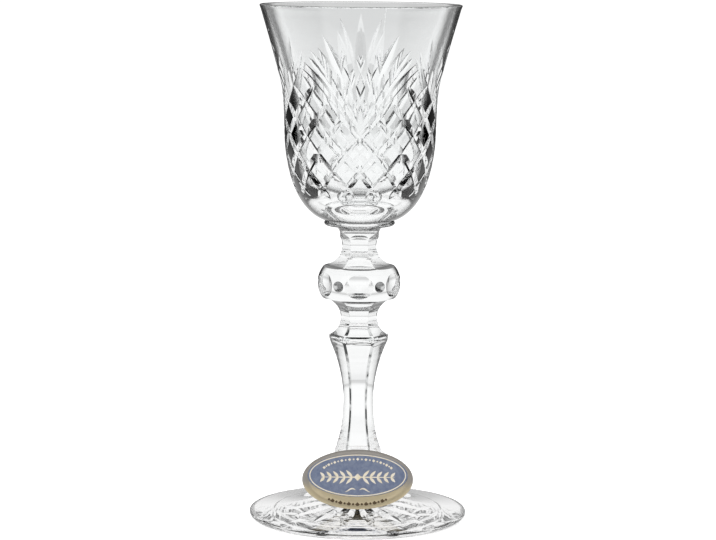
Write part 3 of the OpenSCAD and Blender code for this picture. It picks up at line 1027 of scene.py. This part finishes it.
class GLASS_OT_seal(bpy.types.Operator):
    """Presses the gilt seal, prints its panel and raises a plain ornament on it"""

    bl_idname = "glass.seal"
    bl_label = "Seal"

    def execute(self, context):
        seal = context.scene.glass_seal
        plane = SealPlane(seal)
        self.press_foil(seal, plane)
        self.print_panel(seal, plane)
        self.raise_ornament(seal, plane)
        self.print_marks(seal, plane)
        return {"FINISHED"}

    def press_foil(self, seal, plane):
        """Foil with a rolled edge and a pressed line inside it."""
        top, low = seal.thickness, seal.thickness - seal.press_depth
        field = low + seal.press_depth * 0.4
        rim = seal.rim_width
        middle = plane.height / 2
        profile = [
            (middle, 0), (0.00012, 0), (0, top * 0.3), (0, top * 0.7), (rim * 0.2, top * 0.95),
            (rim * 0.45, top), (rim * 0.75, top * 0.92), (rim, low), (rim * 1.3, low),
            (rim * 1.4, field), (rim * 2.2, field), (middle, field)]
        foil = oval_plate("seal_foil", plane, seal.width, plane.height, 0, profile)
        lacquered = material("gilt foil, hot-stamped", hot_stamped_foil, seal)
        self.dress(foil, lacquered, "gilt_foil", "label_foil")

    def print_panel(self, seal, plane):
        """Panel of lacquered ink, a little raised, with a soft edge."""
        low = seal.thickness - seal.press_depth
        top = seal.thickness + seal.ink_thickness
        profile = [
            (seal.panel_height / 2, low), (0, low), (0, top * 0.9),
            (0.00006, top * 0.97), (0.00016, top), (seal.panel_height / 2, top)]
        panel = oval_plate(
            "seal_print", plane, seal.panel_width, seal.panel_height, seal.panel_rise, profile)
        litho_ink = material("blue litho ink, lacquered", ink_on_foil, seal.ink, seal.pale_ink, 0.38)
        self.dress(panel, litho_ink, "label_ink", "label_print")

    def raise_ornament(self, seal, plane):
        """A gilt line round the panel, an arc of beads, a garland of leaves and a flourish under it."""
        top = seal.thickness + seal.ink_thickness - SUNK
        crest = seal.ornament_height
        half_width = seal.panel_width / 2
        half_height = seal.panel_height / 2
        rise = seal.panel_rise
        pieces = []

        def oval(turn, share):
            return half_width * share * math.cos(turn), rise + half_height * share * math.sin(turn)

        def dot(across, up, size, sides):
            pieces.append(bead("bead", plane, across, up, top, size, crest, sides))

        def draw(place, steps, width, start, span, bend=0.8, blunt=1.0):
            """A stroke along place(share), whose width swells and tapers like a part of a sine wave."""
            shares = [i / steps for i in range(steps + 1)]
            path = [place(share) for share in shares]
            widths = [width * math.sin(math.pi * (start + span * s ** bend)) ** blunt for s in shares]
            pieces.append(stroke("stroke", plane, path, widths, top, crest))

        ring = [oval(FRONT + TAU * i / 144, 0.955) for i in (0, 0.02, *range(1, 144), 143.96, 143.98)]
        pieces.append(stroke("ring", plane, ring, [RING_WIDTH] * len(ring), top, crest))
        for i in range(21):
            dot(*oval(math.radians(152 - 124 * i / 20), 0.76), *((0.0011, 4), (0.0006, 12))[i % 2])
        middle = rise - STEM_DROP
        draw(lambda share: (STEM_REACH * (2 * share - 1), middle), 48, STEM_WIDTH, 0.02, 0.96, 1.0, 0.4)
        dot(0, middle, BUD_SIZE, 4)
        for towards in (-1, 1):
            for i in range(5):
                root = LEAF_START + LEAF_PITCH * i
                reach = LEAF_LENGTH - LEAF_SHRINK * i
                for side in (-1, 1):
                    draw(lambda share: (
                        towards * (root + reach * share * math.cos(LEAF_TURN)),
                        middle + side * reach * share * math.sin(LEAF_TURN)), 12, LEAF_WIDTH, 0.05, 0.93)
            draw(lambda share: (
                towards * (0.0004 + 0.0031 * share),
                rise - FLOURISH_DROP + FLOURISH_WAVE * math.sin(TAU * 0.8 * share)),
                24, FLOURISH_WIDTH, 0.04, 0.92)
        ornament = join(pieces, "seal_ornament")
        pale_gilt = material("pale gilt, raised", ink_on_foil, seal.pale_gilt, seal.gilt, 0.35)
        self.dress(ornament, pale_gilt, "gilt_foil")

    def print_marks(self, seal, plane):
        """A row of small lozenges and dots in brown ink on the lower band."""
        lift = seal.thickness - seal.press_depth * 0.6 - SUNK
        pieces = []
        for i in range(15):
            turn = math.radians(270 + (i - 7) * MARK_TURN)
            across = seal.width / 2 * 0.86 * math.cos(turn)
            up = plane.height / 2 * 0.83 * math.sin(turn)
            size, sides = ((0.0007, 12), (0.0014, 4))[i % 2]
            pieces.append(bead("mark", plane, across, up, lift, size, MARK_HEIGHT, sides))
        marks = join(pieces, "seal_marks")
        brown_ink = material("brown printing ink", ink_on_foil, seal.mark_ink, seal.mark_ink, 0.6)
        self.dress(marks, brown_ink, "label_ink")

    def dress(self, piece, finish, slot, node=None):
        """Gives a piece of the seal its finish and its place in the frame."""
        piece.data.materials.clear()
        piece.data.materials.append(finish)
        make_active(piece)
        bpy.ops.object.shade_smooth_by_angle(angle=math.radians(30))
        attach(piece, BODY)
        if node:
            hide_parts(node)


class GLASS_OT_studio(bpy.types.Operator):
    """Sets the floor, the light and the camera"""

    bl_idname = "glass.studio"
    bl_label = "Studio"

    def execute(self, context):
        self.add_floor()
        self.light_world(context)
        self.add_lamps()
        self.add_camera(context)
        return {"FINISHED"}

    def white_walls(self, tree, direction, dark):
        """How white the studio is all round: white walls before and behind, dark ones at the sides."""
        split = add_node(tree, "SeparateXYZ", {0: direction})
        turn = add_node(tree, "Math", {0: split, 1: split.outputs["Y"]}, operation="ARCTAN2")
        folded = add_node(tree, "Math", {0: turn, 1: WALL_PAIRS}, operation="MULTIPLY")
        wave = add_node(tree, "Math", {0: folded}, operation="COSINE")
        return add_node(tree, "MapRange", {0: wave, 1: WALL_DARK, 2: WALL_WHITE, 3: dark}, **SMOOTH)

    def white_card(self, tree):
        """A matt white card. Seen straight it is lit evenly. In the glass it is white near by, greyer far
        behind and dark far out at the sides."""
        place = add_node(tree, "TexCoord").outputs["Object"]
        reach = add_node(tree, "VectorMath", {0: place}, operation="LENGTH").outputs["Value"]
        walls = self.white_walls(tree, place, 0.0)
        aside = add_node(tree, "MapRange", {0: reach, 1: CARD_NEAR, 2: CARD_FAR, 3: 1.0, 4: 0.0})
        spread = add_node(tree, "Math", {0: walls, 1: aside}, operation="MAXIMUM")
        glows = []
        for near, far, near_white, far_white in CARD_FADES:
            fade = add_node(tree, "MapRange", {0: reach, 1: near, 2: far, 3: near_white, 4: far_white})
            strength = add_node(tree, "Math", {0: fade, 1: spread}, operation="MULTIPLY")
            glows.append(add_node(tree, "Emission", {"Color": WHITE, "Strength": strength}))
        card = add_node(tree, "BsdfDiffuse", {"Color": colour(CARD_COLOUR)})
        glow = add_node(tree, "Emission", {"Color": WHITE, "Strength": CARD_GLOW})
        lit_card = add_node(tree, "AddShader", {0: card, 1: glow})
        return by_ray(tree, card, lit_card, glows[1], glows[0])

    def add_floor(self):
        """The card that the glass stands on, a hair below its foot."""
        floor = add_mesh(
            "studio_floor", bpy.ops.mesh.primitive_plane_add, size=CARD_SIZE, location=(0, 0, -CARD_GAP))
        apply_place()
        floor.data.materials.append(material("white card, matt", self.white_card))

    def light_world(self, context):
        """White to the camera; in the glass white walls, dark ones at the sides and a dark ceiling."""
        world = bpy.data.worlds.new("white studio")
        world.use_nodes = True
        tree = world.node_tree
        tree.nodes.clear()
        place = add_node(tree, "TexCoord").outputs["Generated"]
        split = add_node(tree, "SeparateXYZ", {0: place})
        fill = add_node(tree, "Background", {"Color": WHITE, "Strength": FILL_LIGHT})
        white = add_node(tree, "Background", {"Color": WHITE, "Strength": 1.0})
        walls = []
        for stops, dark in ((THROUGH_STOPS, 0.0), (MIRROR_STOPS, MIRROR_DARK)):
            ramp = add_node(tree, "ValToRGB", {0: split.outputs["Z"]})
            while len(ramp.color_ramp.elements) < len(stops):
                ramp.color_ramp.elements.new(0.5)
            for element, (where, value) in zip(ramp.color_ramp.elements, stops):
                element.position = where
                element.color = (value, value, value, 1)
            spread = self.white_walls(tree, place, dark)
            walls.append(add_node(tree, "Background", {"Color": ramp, "Strength": spread}))
        add_node(tree, "OutputWorld", {"Surface": by_ray(tree, fill, white, walls[1], walls[0])})
        context.scene.world = world

    def add_lamps(self):
        """Two softboxes light the card and the seal, and a strip draws one streak in the glass."""
        for name, place, width, height, power, streak in (
                ("key_softbox", (-0.5, -0.45, 0.55), 0.45, 0.45, 4.5, False),
                ("fill_softbox", (0.6, -0.3, 0.45), 0.5, 0.5, 2.2, False),
                ("strip_light", (-0.45, -0.62, 0.5), 0.012, 0.4, 0.05, True)):
            deselect()
            bpy.ops.object.light_add(type="AREA", location=place)
            lamp = bpy.context.object
            lamp.name = name
            lamp.data.shape = "RECTANGLE"
            lamp.data.size = width
            lamp.data.size_y = height
            lamp.data.energy = power
            lamp.visible_glossy = streak
            lamp.visible_transmission = False
            aim = Vector((0, 0, LAMP_AIM)) - Vector(place)
            lamp.rotation_euler = aim.to_track_quat("-Z", "Y").to_euler()

    def add_camera(self, context):
        """The camera that was fitted to the photo."""
        studio = context.scene.glass_studio
        place = Vector((-studio.side_step, -studio.distance, studio.eye_height))
        aim = Vector((-studio.side_step, 0, studio.aim_height)) - place
        turn = aim.to_track_quat("-Z", "Y").to_matrix() @ Matrix.Rotation(studio.roll, 3, "Z")
        data = bpy.data.cameras.new("studio_camera")
        data.lens = studio.lens
        data.sensor_width = 36
        camera = bpy.data.objects.new("studio_camera", data)
        camera.location = place
        camera.rotation_euler = turn.to_euler()
        scene = context.scene
        scene.collection.objects.link(camera)
        scene.camera = camera
        scene.view_settings.view_transform = "Standard"
        scene.cycles.max_bounces = LIGHT_BOUNCES
        scene.cycles.transmission_bounces = LIGHT_BOUNCES
        scene.cycles.glossy_bounces = LIGHT_BOUNCES


class GLASS_PT_panel(bpy.types.Panel):
    """Lists the steps in the sidebar"""

    bl_idname = "GLASS_PT_panel"
    bl_label = "Cordial glass"
    bl_space_type = "VIEW_3D"
    bl_region_type = "UI"
    bl_category = "Glass"

    def draw(self, context):
        for step in STEPS:
            self.layout.operator(step.bl_idname)


STEPS = (
    GLASS_OT_bowl,
    GLASS_OT_collar,
    GLASS_OT_knop,
    GLASS_OT_leg,
    GLASS_OT_foot,
    GLASS_OT_seal,
    GLASS_OT_studio,
)
GROUPS = {
    "glass_sizes": GlassSizes,
    "glass_cuts": CutSizes,
    "glass_seal": SealSizes,
    "glass_studio": StudioSettings,
}
CLASSES = (*GROUPS.values(), *STEPS, GLASS_PT_panel)


def register():
    for found in CLASSES:
        bpy.utils.register_class(found)
    for name, group in GROUPS.items():
        setattr(bpy.types.Scene, name, bpy.props.PointerProperty(type=group))


def unregister():
    for name in GROUPS:
        delattr(bpy.types.Scene, name)
    for found in reversed(CLASSES):
        bpy.utils.unregister_class(found)


def main():
    register()
    for step in STEPS:
        group, name = step.bl_idname.split(".")
        getattr(getattr(bpy.ops, group), name)()


if __name__ == "__main__":
    main()
